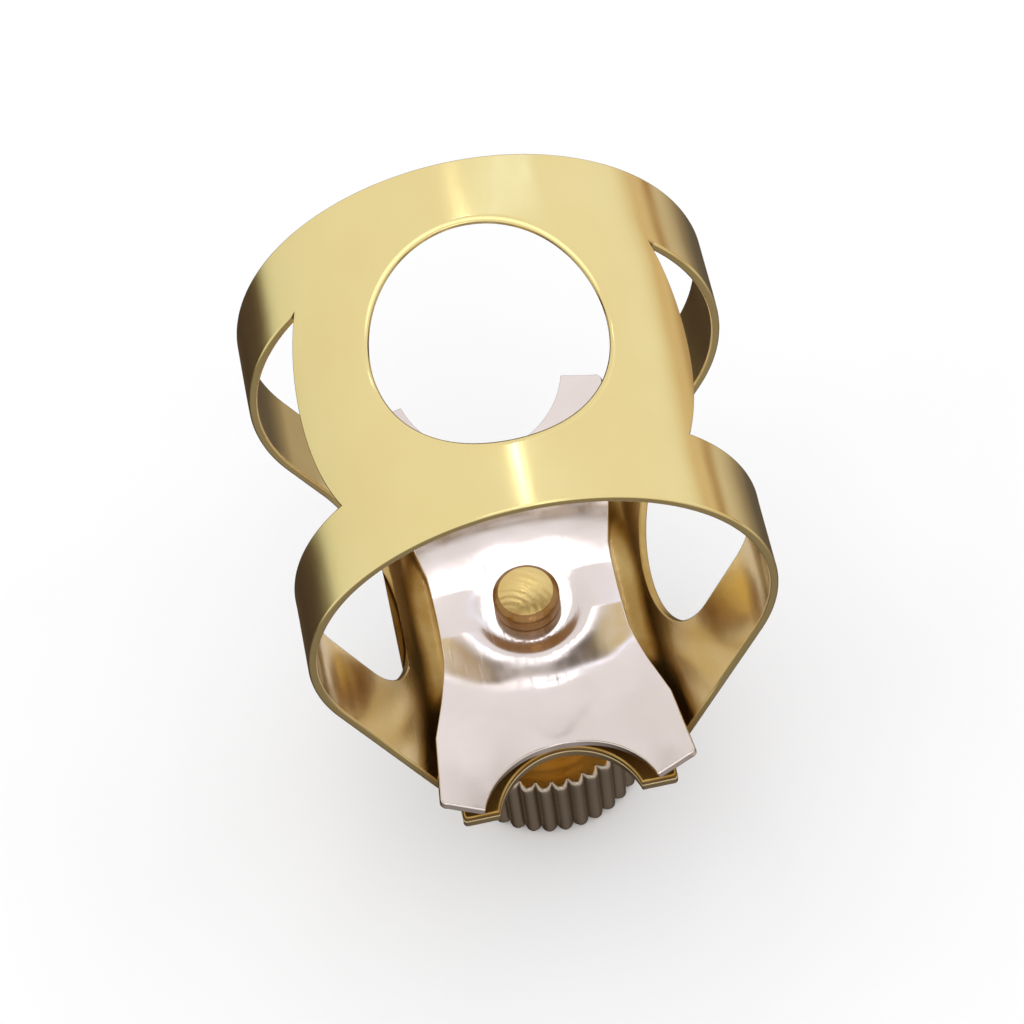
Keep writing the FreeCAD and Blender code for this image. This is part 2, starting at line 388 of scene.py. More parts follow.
class Nodes:
    """Small helper that adds and links shader nodes."""

    def __init__(self, name):
        self.material = bpy.data.materials.new(name)
        self.material.use_nodes = True
        self.tree = self.material.node_tree
        self.tree.nodes.clear()
        out = self.tree.nodes.new("ShaderNodeOutputMaterial")
        self.bsdf = self.tree.nodes.new("ShaderNodeBsdfPrincipled")
        self.link(self.bsdf.outputs[0], out.inputs[0])
        self.coord = self.tree.nodes.new("ShaderNodeTexCoord").outputs["Object"]

    def link(self, a, b):
        """Joins output a to input b."""
        self.tree.links.new(a, b)

    def node(self, kind, **settings):
        """Adds a node and sets its options."""
        made = self.tree.nodes.new(kind)
        for key, value in settings.items():
            setattr(made, key, value)
        return made

    def mapped(self, scale=(1, 1, 1), rotation=(0, 0, 0), location=(0, 0, 0)):
        """Object coordinates, scaled and turned."""
        m = self.tree.nodes.new("ShaderNodeMapping")
        m.inputs["Scale"].default_value = scale
        m.inputs["Rotation"].default_value = rotation
        m.inputs["Location"].default_value = location
        self.link(self.coord, m.inputs["Vector"])
        return m.outputs[0]

    def noise(self, vector, scale, detail=3.0):
        """Noise value from 0 to 1."""
        n = self.node("ShaderNodeTexNoise")
        n.inputs["Scale"].default_value = scale
        n.inputs["Detail"].default_value = detail
        n.inputs["Roughness"].default_value = 0.55
        self.link(vector, n.inputs["Vector"])
        return n.outputs["Fac"]

    def ramp(self, value, stops):
        """Colour by value, from (position, colour) stops."""
        r = self.tree.nodes.new("ShaderNodeValToRGB")
        els = r.color_ramp.elements
        while len(els) < len(stops):
            els.new(0.5)
        for el, (pos, col) in zip(els, stops):
            el.position = pos
            el.color = (*col, 1)
        self.link(value, r.inputs[0])
        return r.outputs[0]

    def span(self, value, low, high, out_low, out_high):
        """Maps low..high to out_low..out_high and holds the ends."""
        m = self.tree.nodes.new("ShaderNodeMapRange")
        for key, v in zip(("From Min", "From Max", "To Min", "To Max"), (low, high, out_low, out_high)):
            m.inputs[key].default_value = v
        self.link(value, m.inputs["Value"])
        return m.outputs[0]

    def bump(self, height, strength, distance, below=None):
        """Bumped normal, on top of another one if given; distance in metres."""
        b = self.tree.nodes.new("ShaderNodeBump")
        b.inputs["Strength"].default_value = strength
        b.inputs["Distance"].default_value = distance
        self.link(height, b.inputs["Height"])
        if below is not None:
            self.link(below, b.inputs["Normal"])
        return b.outputs[0]

    def mix(self, fac, a, b):
        """Blends colour a into colour b; each is a colour or a socket."""
        m = self.tree.nodes.new("ShaderNodeMix")
        m.data_type = "RGBA"
        self.link(fac, m.inputs[0])
        for slot, value in ((6, a), (7, b)):
            if isinstance(value, tuple):
                m.inputs[slot].default_value = (*value, 1)
            else:
                self.link(value, m.inputs[slot])
        return m.outputs[2]


# Heights between which the shell's colour is darkened to brown as painted shade low in the channel, and
# that painted shade's colour.
SHADE_TOP = -11.5
SHADE_FULL = -15.3
PAINTED_SHADE_TINT = (0.33, 0.165, 0.02)
SHADE_DULLING = 0.2


def lacquered_brass():
    """Polished sheet brass under clear lacquer."""
    n = Nodes("lacquered_brass")
    cloud = n.noise(n.mapped(), 140.0, 3.0)
    tones = [(0.3, (0.77, 0.62, 0.275)), (0.55, (0.79, 0.65, 0.295)), (0.8, (0.81, 0.67, 0.325))]
    tone = n.ramp(cloud, tones)
    # Painted shade: brown mixed into the colour towards the bottom, strongest low in the bridge.
    split = n.node("ShaderNodeSeparateXYZ")
    n.link(n.coord, split.inputs[0])
    low_shade = n.span(split.outputs["Z"], SHADE_TOP * MM, SHADE_FULL * MM, 0.0, 1.0)
    blot = n.span(n.noise(n.mapped(), 300.0, 3.0), 0.3, 0.7, 0.65, 1.0)
    amount = n.node("ShaderNodeMath", operation="MULTIPLY")
    n.link(low_shade, amount.inputs[0])
    n.link(blot, amount.inputs[1])
    tone = n.mix(amount.outputs[0], tone, PAINTED_SHADE_TINT)
    n.link(tone, n.bsdf.inputs["Base Color"])
    n.bsdf.inputs["Metallic"].default_value = 1.0
    smear = n.noise(n.mapped(scale=(1, 0.35, 1)), 420.0, 4.0)
    # Roughness is raised where the painted shade lies.
    dull = n.node("ShaderNodeMath", operation="MULTIPLY_ADD")
    n.link(amount.outputs[0], dull.inputs[0])
    dull.inputs[1].default_value = SHADE_DULLING
    n.link(n.span(smear, 0.3, 0.75, 0.13, 0.24), dull.inputs[2])
    n.link(dull.outputs[0], n.bsdf.inputs["Roughness"])
    wave = n.noise(n.mapped(scale=(1, 0.6, 1)), 90.0, 2.0)
    grain = n.noise(n.mapped(scale=(1.0, 9.0, 1.0)), 1500.0, 3.0)
    low = n.bump(wave, 0.12, 0.0002)
    n.link(n.bump(grain, 0.05, 0.00002, low), n.bsdf.inputs["Normal"])
    n.bsdf.inputs["Coat Weight"].default_value = 0.25
    n.bsdf.inputs["Coat Roughness"].default_value = 0.06
    n.bsdf.inputs["Coat IOR"].default_value = 1.48
    return n.material


def nickel_silver():
    """Polished nickel silver with fine scratches."""
    n = Nodes("nickel_silver")
    cloud = n.noise(n.mapped(), 160.0, 3.0)
    # The warm pinkish tone is partly the metal's own and partly painted reflection of the surrounding
    # brass.
    tone = n.ramp(cloud, [(0.35, (0.72, 0.635, 0.60)), (0.7, (0.80, 0.715, 0.68))])
    n.link(tone, n.bsdf.inputs["Base Color"])
    n.bsdf.inputs["Metallic"].default_value = 1.0
    smear = n.noise(n.mapped(scale=(1, 0.4, 1)), 500.0, 4.0)
    n.link(n.span(smear, 0.3, 0.75, 0.14, 0.27), n.bsdf.inputs["Roughness"])
    wave = n.noise(n.mapped(), 130.0, 2.0)
    scratch = n.noise(n.mapped(scale=(9.0, 0.5, 1.0), rotation=(0, 0, 0.9)), 700.0, 2.0)
    lines = n.span(scratch, 0.62, 0.72, 0.0, 1.0)
    low = n.bump(wave, 0.15, 0.0002)
    n.link(n.bump(lines, 0.12, 0.00003, low), n.bsdf.inputs["Normal"])
    return n.material


def turned_brass(name, tone_a, tone_b, rough, ring_scale, centre=(0.0, 0.0), side=None):
    """Bare brass with the fine rings that a lathe tool leaves.

    side is a colour painted on faces that don't point up, if they differ: painted shade on the sides
    against the up-facing tone.
    """
    n = Nodes(name)
    cloud = n.noise(n.mapped(), 320.0, 3.0)
    tone = n.ramp(cloud, [(0.3, tone_a), (0.75, tone_b)])
    # Painted light: faces that point up take the tone, and all others take the side colour.
    if side is not None:
        split = n.node("ShaderNodeSeparateXYZ")
        n.link(n.node("ShaderNodeTexCoord").outputs["Normal"], split.inputs[0])
        facing = n.span(split.outputs["Z"], 0.9, 0.995, 0.0, 1.0)
        tone = n.mix(facing, side, tone)
    n.link(tone, n.bsdf.inputs["Base Color"])
    n.bsdf.inputs["Metallic"].default_value = 1.0
    n.link(n.span(cloud, 0.3, 0.75, rough[0], rough[1]), n.bsdf.inputs["Roughness"])
    rings = n.node("ShaderNodeTexWave", wave_type="RINGS", rings_direction="Z", wave_profile="SIN")
    rings.inputs["Scale"].default_value = ring_scale
    rings.inputs["Distortion"].default_value = 1.2
    rings.inputs["Detail"].default_value = 2.0
    rings.inputs["Detail Scale"].default_value = 2.0
    n.link(n.mapped(location=(centre[0] * MM, centre[1] * MM, 0)), rings.inputs["Vector"])
    n.link(n.bump(rings.outputs["Fac"], 0.22, 0.00004), n.bsdf.inputs["Normal"])
    return n.material


def white_floor():
    """Matt white paper."""
    n = Nodes("studio_floor")
    speck = n.noise(n.mapped(), 40.0, 2.0)
    tone = n.ramp(speck, [(0.3, (0.93, 0.93, 0.93)), (0.7, (0.95, 0.95, 0.95))])
    n.link(tone, n.bsdf.inputs["Base Color"])
    n.bsdf.inputs["Roughness"].default_value = 0.9
    return n.material


# ---- band shell ---------------------------------------------------------------------

REACH = math.hypot(BRIDGE_HALF, BRIDGE_BOTTOM)
CORNER = math.atan2(BRIDGE_HALF, -BRIDGE_BOTTOM)


def ring_radius(y):
    """Outer radius along the shell: two rings with a soft taper between them."""
    soft = 0.12
    t = np.clip((np.asarray(y) + RING_EDGE) / (2 * RING_EDGE), -soft, 1 + soft)
    low = np.where(t < soft, (np.maximum(t + soft, 0)) ** 2 / (4 * soft), t)
    high = np.where(t > 1 - soft, 1 - (np.maximum(1 + soft - t, 0)) ** 2 / (4 * soft), low)
    return FRONT_R + (REAR_R - FRONT_R) * high


def outline_at(y, depth):
    """Sizes of the shell's outline at stations y, a depth below its outside."""
    r = ring_radius(y)
    leave = CORNER + np.arccos(r / REACH)
    radius = r - depth
    floor = BRIDGE_BOTTOM + depth
    bend = BRIDGE_BEND - depth
    nx, nz = np.sin(leave), -np.cos(leave)
    corner_x = (radius - floor * nz) / nx
    setback = bend * np.tan(leave / 2)
    return r, leave, radius, floor, bend, nx, nz, corner_x, setback


def mean_lengths():
    """Lengths along half the outline at mid-length: ring, wall, bend, floor."""
    _, leave, radius, floor, bend, nx, nz, corner_x, setback = outline_at(0.0, 0.0)
    wall = math.hypot(radius * nx - (corner_x - nz * setback), radius * nz - (floor + nx * setback))
    return [(math.pi - leave) * radius, wall, bend * leave, corner_x - setback]


LENGTHS = [float(v) for v in mean_lengths()]
MARKS = np.concatenate([[0], np.cumsum(LENGTHS)])
HALF_TURN = float(MARKS[-1])
# The mesh's seam runs down the walls, this far along them.
SEAM_PLACE = 0.88
SEAM_U = float(MARKS[1] + SEAM_PLACE * LENGTHS[1])
SEAM_LEFT = -SEAM_U
SEAM_RIGHT = 2 * HALF_TURN - SEAM_U


def place_shell(flat, depth):
    """Rolls flat coordinates (round the shell from its top, along Y) into shape."""
    u, y = flat[:, 0], flat[:, 1]
    side = np.where((u < 0) | (u > HALF_TURN), -1.0, 1.0)
    v = np.where(u <= HALF_TURN, np.abs(u), 2 * HALF_TURN - u)
    _, leave, radius, floor, bend, nx, nz, corner_x, setback = outline_at(y, depth)
    slope = (ring_radius(y + 0.01) - ring_radius(y - 0.01)) / 0.02
    part = [np.clip((v - MARKS[k]) / LENGTHS[k], 0, 1) for k in range(4)]
    phi = part[0] * (math.pi - leave)
    x = radius * np.sin(phi)
    z = radius * np.cos(phi)
    n = np.stack([np.sin(phi), -slope, np.cos(phi)], -1)
    wall = v > MARKS[1]
    wx = radius * nx + (corner_x - nz * setback - radius * nx) * part[1]
    wz = radius * nz + (floor + nx * setback - radius * nz) * part[1]
    x, z = np.where(wall, wx, x), np.where(wall, wz, z)
    bent = v > MARKS[2]
    angle = leave * (1 - part[2])
    x = np.where(bent, corner_x - setback + bend * np.sin(angle), x)
    z = np.where(bent, floor + bend - bend * np.cos(angle), z)
    n[bent] = np.stack([np.sin(angle), -slope * (1 - part[2]), -np.cos(angle)], -1)[bent]
    under = v > MARKS[3]
    x = np.where(under, (corner_x - setback) * (1 - part[3]), x)
    points = np.stack([x * side, y, z], -1)
    n[:, 0] *= side
    return points, unit(n)


def u_of_phi(phi, y):
    """Flat coordinate of an angle from the top, on a ring's round part."""
    leave = outline_at(y, 0.0)[1]
    return phi * LENGTHS[0] / (math.pi - leave)


def u_of_x(x, y):
    """Flat coordinate of a point on the bridge's flat, right side positive x."""
    out = outline_at(y, 0.0)
    return HALF_TURN - x * LENGTHS[3] / (out[7] - out[8])


def u_of_z(z, y):
    """Flat coordinate of a height on the right side, on the ring or its wall."""
    _, _, radius, floor, _, nx, nz, _, setback = outline_at(y, 0.0)
    top = radius * nz
    foot = floor + nx * setback
    on_ring = u_of_phi(np.arccos(np.clip(z / radius, -1, 1)), y)
    on_wall = MARKS[1] + LENGTHS[1] * (top - z) / (top - foot)
    return np.where(z > top, on_ring, on_wall)


def window_loop(step):
    """Right-hand window in flat coordinates: bowed saddle edge, sides, round foot."""
    bow_r = (RING_EDGE ** 2 + SADDLE_BOW ** 2) / (2 * SADDLE_BOW)
    ys = np.linspace(WINDOW_R, -WINDOW_R, int(2 * WINDOW_R / step))
    s = SADDLE_BOW / 2 - (bow_r - np.sqrt(bow_r ** 2 - ys ** 2))
    phi = SADDLE_EDGE + np.arcsin(s / ring_radius(ys))
    saddle = np.stack([u_of_phi(phi, ys), ys], -1)
    z_rear = float(np.cos(phi[0]) * ring_radius(ys[0]))
    z_front = float(np.cos(phi[-1]) * ring_radius(ys[-1]))
    foot_z = WINDOW_FLOOR + WINDOW_R
    foot = arc_points(0, foot_z, WINDOW_R, -math.pi, 0, step)
    path = resample(
        [(-WINDOW_R, z_front)] + [tuple(v) for v in foot] + [(WINDOW_R, z_rear)], step, closed=False
    )
    u = np.array([float(u_of_z(z, y)) for y, z in path])
    rest = np.stack([u, path[:, 0]], -1)
    return np.vstack([saddle[:-1], rest[:-1]])


def signed_area(loop):
    """Area of a loop, positive when it runs anticlockwise."""
    x, y = loop[:, 0], loop[:, 1]
    return 0.5 * float(np.sum(x * np.roll(y, -1) - np.roll(x, -1) * y))


def clockwise(loop):
    """A hole's loop, turned so that the metal is on its left."""
    return loop if signed_area(loop) < 0 else loop[::-1]


def tab_points(end):
    """Outline of one bridge tab with its notch, from right to left in X and Y."""
    corner = TAB_CORNER_R
    tab = end * TAB_END
    reach = TAB_END - BRIDGE_NOTCH_Y
    start = math.asin(reach / BRIDGE_NOTCH_R)
    right = [
        (TAB_HALF - corner * (1 - math.cos(t)), tab - end * corner * (1 - math.sin(t)))
        for t in np.linspace(0, math.pi / 2, 5)
    ]
    notch = [
        (BRIDGE_NOTCH_R * math.cos(t), end * (BRIDGE_NOTCH_Y + BRIDGE_NOTCH_R * math.sin(t)))
        for t in np.linspace(start, -math.pi - start, 33)
    ]
    return right + notch + [(-x, y) for x, y in reversed(right)]


def mouth_run(end, step):
    """Edge of one mouth with the bridge's tab and notch, from seam to seam."""
    y = end * MOUTH_Y
    flat_pts = [(TAB_HALF, y)] + tab_points(end) + [(-TAB_HALF, y)]
    pts = [(SEAM_LEFT, y)]
    pts += [(float(u_of_x(px, py)), py) for px, py in flat_pts]
    pts.append((SEAM_RIGHT, y))
    return resample(pts, step, closed=False)


def make_shell():
    """The band: rings, saddle and bridge as one rolled sheet."""
    step = 0.3
    front = mouth_run(-1, step)
    rear = mouth_run(1, step)[::-1]
    hole = arc_points(0, 0, HOLE_R, 0, 2 * math.pi, step)[:-1]
    window = window_loop(step)
    mirrored = window * np.array([-1, 1])
    boss = arc_points(0, 0, BOSS_SPIGOT_R, 0, 2 * math.pi, step)[:-1]
    boss = np.array([(float(u_of_x(x, y)), y) for x, y in boss])
    holes = [clockwise(h) for h in (hole, window, mirrored, boss)]
    seam = (SEAM_LEFT, SEAM_RIGHT)
    points, faces, normals = sheet_mesh(
        [front, rear], holes, place_shell, SHEET, EDGE_ROUND, 0.40, seam, first_hole_edge=HOLE_ROUND
    )
    return new_piece(
        "shell_sheet", points, faces, normals,
        "shell", MATERIALS["brass"], "band_shell",
    )


# ---- pressure plate -----------------------------------------------------------------

# Heights of the plate's top above its seat by distance from the screw along Y:
# on the centre line, and how much higher the sides are.
PLATE_LIFT = [(0, 0.0), (3.5, 0.0), (5.2, 0.03), (7.4, 0.6), (10.5, 1.2), (15.0, 1.95)]
PLATE_SIDE_RISE = [(0, 0.1), (3.5, 0.2), (7.0, 0.95), (10.5, 1.2), (15.0, 1.25)]
PLATE_BLUR = 1.2

# Soft rim round the screw: its height, where it climbs and where it falls away.
RIM_HEIGHT = 0.36
RIM_CLIMB = (2.7, 4.0)
RIM_FALL = (4.2, 7.4)

# Fold lines that run from the waist to the notch in each end.
FOLD_DEPTH = 0.09
FOLD_WIDTH = 1.1
FOLD_MEET = 10.8
FOLD_SPREAD = 1.05

DENT_HEIGHT = 0.010


def plate_height(x, y):
    """Top surface of the pressure plate, with its turned-up ends and sides."""
    ay = np.abs(y)
    lift = np.interp(ay, *zip(*PLATE_LIFT))
    rise = np.interp(ay, *zip(*PLATE_SIDE_RISE))
    side = np.abs(x) / PLATE_BLANK
    return PLATE_SEAT + lift + rise * side ** 2


def ease(value, low, high):
    """Smooth step from 0 at low to 1 at high."""
    t = np.clip((value - low) / (high - low), 0, 1)
    return t * t * (3 - 2 * t)


def smooth_plate_height(x, y):
    """plate_height blurred along Y, with the pressed rim, folds and dents added."""
    total = 0
    offsets = np.linspace(-PLATE_BLUR, PLATE_BLUR, 9)
    weights = 1 - (offsets / (1.25 * PLATE_BLUR)) ** 2
    for offset, weight in zip(offsets, weights):
        total = total + plate_height(x, y + offset) * weight
    z = total / weights.sum()
    # The rim is there in front of the screw and fades out behind it.
    r = np.hypot(x, y)
    lean = np.clip(0.55 - y / 3, 0.0, 1)
    rim = RIM_HEIGHT * lean * ease(r, *RIM_CLIMB) * (1 - ease(r, *RIM_FALL))
    ay = np.abs(y)
    off_fold = np.abs(np.abs(x) - (FOLD_MEET - ay) * FOLD_SPREAD)
    reach = np.clip((ay - 5.0) / 2.0, 0, 1) * np.clip((11.2 - ay) / 1.2, 0, 1)
    crease = -FOLD_DEPTH * np.exp(-(off_fold / FOLD_WIDTH) ** 2) * reach
    # Slight hammering that keeps the sheet from looking machined.
    waves = np.sin(1.7 * x + 0.6) * np.sin(1.3 * y + 1.0)
    dent = DENT_HEIGHT * waves * np.clip((r - 2.6) / 1.5, 0, 1)
    return z + rim + crease + dent


def place_plate(flat, depth):
    """Points and normals of the plate, a depth below its top."""
    x, y = flat[:, 0], flat[:, 1]
    h = 0.02
    z = smooth_plate_height(x, y)
    gx = (smooth_plate_height(x + h, y) - smooth_plate_height(x - h, y)) / (2 * h)
    gy = (smooth_plate_height(x, y + h) - smooth_plate_height(x, y - h)) / (2 * h)
    n = unit(np.stack([-gx, -gy, np.ones_like(gx)], -1))
    points = np.stack([x, y, z], -1) - n * depth
    return points, n


def plate_loop(step):
    """Waisted outline with a notch in each end, anticlockwise from the right waist."""
    quarter = []
    waist_r = waist_radius((PLATE_WAIST_X, 0.0), PLATE_WAIST_POINT)
    ys = np.linspace(0, PLATE_WAIST_POINT[1], 8)
    quarter += [(PLATE_WAIST_X + waist_r - math.sqrt(waist_r ** 2 - v ** 2), v) for v in ys]
    flare = [PLATE_WAIST_POINT, PLATE_FLARE_POINT, (PLATE_SHOULDER_X, PLATE_SHOULDER_Y)]
    quarter += arc_between(circle_through(*flare), *flare, step)[1:]
    corner = PLATE_CORNER_R
    end = PLATE_END - PLATE_TIP_RUN
    quarter += [
        (PLATE_HALF - corner * (1 - math.cos(t)), end - corner + corner * math.sin(t))
        for t in np.linspace(0, math.pi / 2, 7)
    ]
    quarter.append((PLATE_TIP_X + 0.06, PLATE_END))
    reach = PLATE_END - PLATE_NOTCH_Y
    start = math.atan2(reach, math.sqrt(PLATE_NOTCH_R ** 2 - reach ** 2))
    for t in np.linspace(start, -math.pi / 2, 20):
        quarter.append((PLATE_NOTCH_R * math.cos(t), PLATE_NOTCH_Y + PLATE_NOTCH_R * math.sin(t)))
    upper = quarter + [(-x, y) for x, y in reversed(quarter)][1:]
    lower = [(-x, -y) for x, y in upper][1:-1]
    loop = np.array(upper + lower)
    return resample(loop, step, closed=True)


def waist_radius(a, b):
    """Radius of the arc that leaves point a along Y and passes point b."""
    dx, dy = b[0] - a[0], b[1] - a[1]
    return (dx * dx + dy * dy) / (2 * dx)


def circle_through(a, b, c):
    """Centre and radius of the circle through three points."""
    ax, ay, bx, by, cx, cy = *a, *b, *c
    d = 2 * (ax * (by - cy) + bx * (cy - ay) + cx * (ay - by))
    sa, sb, sc = ax**2 + ay**2, bx**2 + by**2, cx**2 + cy**2
    ux = (sa * (by - cy) + sb * (cy - ay) + sc * (ay - by)) / d
    uy = (sa * (cx - bx) + sb * (ax - cx) + sc * (bx - ax)) / d
    return ux, uy, math.hypot(ax - ux, ay - uy)


def arc_between(circle, a, b, c, step):
    """Points on a circle from a through b to c."""
    ux, uy, r = circle
    t0 = math.atan2(a[1] - uy, a[0] - ux)
    t1 = math.atan2(b[1] - uy, b[0] - ux)
    t2 = math.atan2(c[1] - uy, c[0] - ux)
    t1 = t0 + (t1 - t0 + math.pi) % (2 * math.pi) - math.pi
    t2 = t1 + (t2 - t1 + math.pi) % (2 * math.pi) - math.pi
    n = max(6, int(abs(t2 - t0) * r / step))
    return [(ux + r * math.cos(t), uy + r * math.sin(t)) for t in np.linspace(t0, t2, n)]


def make_plate():
    """Pressure plate that bears on the reed."""
    step = 0.25
    loop = plate_loop(step)
    if signed_area(loop) < 0:
        loop = loop[::-1]
    hole = arc_points(0, 0, NECK_R + NECK_CLEAR, 0, 2 * math.pi, 0.2)[:-1][::-1]
    points, faces, normals = sheet_mesh([loop], [hole], place_plate, PLATE_T, PLATE_EDGE_ROUND, 0.27)
    return new_piece(
        "reed_plate", points, faces, normals,
        "plate", MATERIALS["nickel"], "pressure_plate",
    )


# ---- strap and turned pieces ----------------------------------------------------------

# A turned end stops this far from the axis, and one small face closes it.
AXIS_GAP = 0.02


def make_strap():
    """Strap under the bridge that carries the boss."""
    loop = resample(tab_points(1) + [(-x, y) for x, y in tab_points(-1)], 0.3, closed=True)
    if signed_area(loop) < 0:
        loop = loop[::-1]
    hole = arc_points(0, 0, BOSS_SPIGOT_R, 0, 2 * math.pi, 0.3)[:-1]

    def place(flat, depth):
        """Points and normals of the strap, a depth below its flat top."""
        n = np.zeros((len(flat), 3))
        n[:, 2] = 1
        return np.column_stack([flat, np.full(len(flat), BRIDGE_BOTTOM) - depth]), n

    points, faces, normals = sheet_mesh([loop], [clockwise(hole)], place, STRAP_T, STRAP_EDGE_ROUND, 0.6)
    return new_piece(
        "strap_plate", points, faces, normals,
        "shell", MATERIALS["boss"], "threaded_boss",
    )


def make_boss():
    """Boss with its spigot through the bridge, bored right through."""
    top = BRIDGE_BOTTOM + SHEET
    low = BOSS_BOTTOM
    profile = [
        (BOSS_BORE_R, top),
        (BOSS_SPIGOT_R, top),
        (BOSS_SPIGOT_R, STRAP_BOTTOM),
        (BOSS_R, STRAP_BOTTOM),
        (BOSS_R, low + BOSS_CHAMFER),
        (BOSS_R - 0.12, low + 0.15),
        (BOSS_R - BOSS_CHAMFER, low),
        (BOSS_BORE_R + BOSS_CHAMFER, low),
        (BOSS_BORE_R, low + BOSS_CHAMFER),
    ]
    segments = 96
    turns = full_turn(segments)
    rings = [ring(r, z, turns) for r, z in profile]
    faces = []
    count = len(profile)
    for k in range(count):
        m = (k + 1) % count
        for i in range(segments):
            j = (i + 1) % segments
            faces.append((k * segments + i, m * segments + i, m * segments + j, k * segments + j))
    obj = new_piece(
        "boss_turned", np.vstack(rings), faces, None,
        "shell", MATERIALS["boss"], "threaded_boss",
    )
    return finish_lathe(obj)


def make_spindle():
    """Shank with a real helical thread, its neck and its plain foot in the knob."""
    z_neck = CAP_TOP - CAP_SOCKET
    z_top = SHOULDER_Z
    z_thread_end = KNOB_TOP + THREAD_FOOT
    z_foot = KNOB_TOP - KNOB_SOCKET
    lead_in = 0.4
    row_gap = 0.05
    profile = [(NECK_R - 0.02, z_neck - 0.03), (NECK_R, z_neck - 0.06), (NECK_R, z_top)]
    profile.append((THREAD_R - lead_in, z_top))
    z = z_top - row_gap
    while z > z_thread_end:
        profile.append((THREAD_R, z))
        z -= THREAD_PITCH / 14
    profile += [(THREAD_R, z_thread_end - row_gap), (THREAD_R, z_foot + 0.1), (THREAD_R - 0.1, z_foot)]

    def threaded(r, z, turns):
        """Radius with the thread cut in, run out at its foot and led in at its top."""
        if not (z_thread_end < z < z_top - 0.04):
            return np.full(len(turns), r)
        phase = ((z - z_top) / THREAD_PITCH + turns / (2 * math.pi)) % 1.0
        tooth = np.abs(phase * 2 - 1)
        crest = np.clip((tooth - 0.12) / 0.74, 0, 1)
        run_out = min(1.0, (z - z_thread_end) / 0.6)
        crown = THREAD_R - lead_in * (1 - min(1.0, (z_top - z) / 0.45))
        return np.minimum(crown, THREAD_R - THREAD_DEPTH * (1 - crest) * run_out)

    points, faces = lathe(profile, 72, threaded)
    obj = new_piece(
        "spindle_threaded", points, faces, None,
        "thumbscrew", MATERIALS["screw"], "screw_spindle",
    )
    return finish_lathe(obj, 50.0)


def make_cap():
    """Chamfered button on the end of the neck."""
    profile = [
        (AXIS_GAP, CAP_TOP),
        (CAP_R - 0.36, CAP_TOP),
        (CAP_R - 0.32, CAP_TOP - 0.012),
        (CAP_R - 0.03, CAP_TOP - 0.30),
        (CAP_R, CAP_TOP - 0.35),
        (CAP_R, CAP_UNDER + 0.06),
        (CAP_R - 0.06, CAP_UNDER),
        (NECK_R, CAP_UNDER),
        (NECK_R, CAP_TOP - CAP_SOCKET),
        (AXIS_GAP, CAP_TOP - CAP_SOCKET),
    ]
    points, faces = lathe(profile, 96)
    obj = new_piece(
        "cap_turned", points, faces, None,
        "thumbscrew", MATERIALS["cap"], "retaining_cap",
    )
    return finish_lathe(obj)


def make_knob():
    """Knob with rounded flutes that run out at its bevelled rims."""
    bevel = KNOB_BEVEL
    top, low = KNOB_TOP, KNOB_BOTTOM
    land = KNOB_R - 0.62
    inner = KNOB_R - 0.9
    profile = [(THREAD_R, top), (THREAD_R + 0.15, top), (inner, top), (land, top)]
    for t in np.linspace(0, math.pi / 2, 7):
        profile.append((KNOB_R - bevel + bevel * math.sin(t), top - bevel + bevel * math.cos(t)))
    for z in np.linspace(top - bevel, low + bevel, 14)[1:-1]:
        profile.append((KNOB_R, float(z)))
    for t in np.linspace(math.pi / 2, 0, 7):
        profile.append((KNOB_R - bevel + bevel * math.sin(t), low + bevel - bevel * math.cos(t)))
    dimple = low + 0.18
    profile += [(land, low), (inner, low), (2.6, low), (2.4, dimple), (AXIS_GAP, dimple)]

    def fluted(r, _, turns):
        """Radius with the flutes cut in, fading out inside the rim."""
        reach = np.clip((r - land) / 0.3, 0, 1)
        wave = np.abs(np.cos(turns * KNOB_FLUTES / 2)) ** 0.75
        return r - KNOB_FLUTE_DEPTH * (1 - wave) * reach

    segments = KNOB_FLUTES * 16
    points, faces = lathe(profile, segments, fluted)
    obj = new_piece(
        "knob_fluted", points, faces, None,
        "thumbscrew", MATERIALS["knob"], "knob",
    )
    return finish_lathe(obj, 40.0)


# ---- studio ---------------------------------------------------------------------------

def area_light(name, place, target, size, power, colour=(1, 1, 1)):
    """Rectangular lamp that faces a target; places and sizes in metres."""
    data = bpy.data.lights.new(name, "AREA")
    data.shape = "RECTANGLE"
    data.size, data.size_y = size
    data.energy = power
    data.color = colour
    obj = bpy.data.objects.new(name, data)
    bpy.context.scene.collection.objects.link(obj)
    obj.location = place
    obj.rotation_euler = (Vector(target) - Vector(place)).to_track_quat("-Z", "Y").to_euler()
    return obj


# Colour of the dome by angle about Y from straight up, positive towards +X.
DOME = [
    (-180, (0.09, 0.055, 0.03)),
    (-150, (0.065, 0.045, 0.03)),
    (-130, (0.085, 0.06, 0.045)),
    (-121, (0.13, 0.10, 0.07)),
    (-115, (0.36, 0.34, 0.27)),
    (-111, (0.82, 0.84, 0.74)),
    (-103, (0.92, 0.94, 0.86)),
    (-96, (0.95, 0.95, 0.93)),
    (-60, (1.0, 1.0, 1.0)),
    (60, (1.03, 1.03, 1.05)),
    (84, (1.03, 1.05, 1.10)),
    (92, (0.93, 0.88, 0.80)),
    (97, (0.70, 0.52, 0.36)),
    (103, (0.92, 0.80, 0.66)),
    (107, (0.36, 0.19, 0.07)),
    (110, (0.40, 0.24, 0.12)),
    (114, (0.78, 0.72, 0.66)),
    (121, (0.62, 0.55, 0.46)),
    (133, (0.30, 0.24, 0.18)),
    (146, (0.13, 0.11, 0.09)),
    (180, (0.09, 0.055, 0.03)),
]

# Soft front glow on the low part of the dome, and how far below level it starts.
GLOW = 0.35
GLOW_BELOW = -0.15
# How far the dome's bands wander, in radians either way.
BAND_WANDER = 0.08


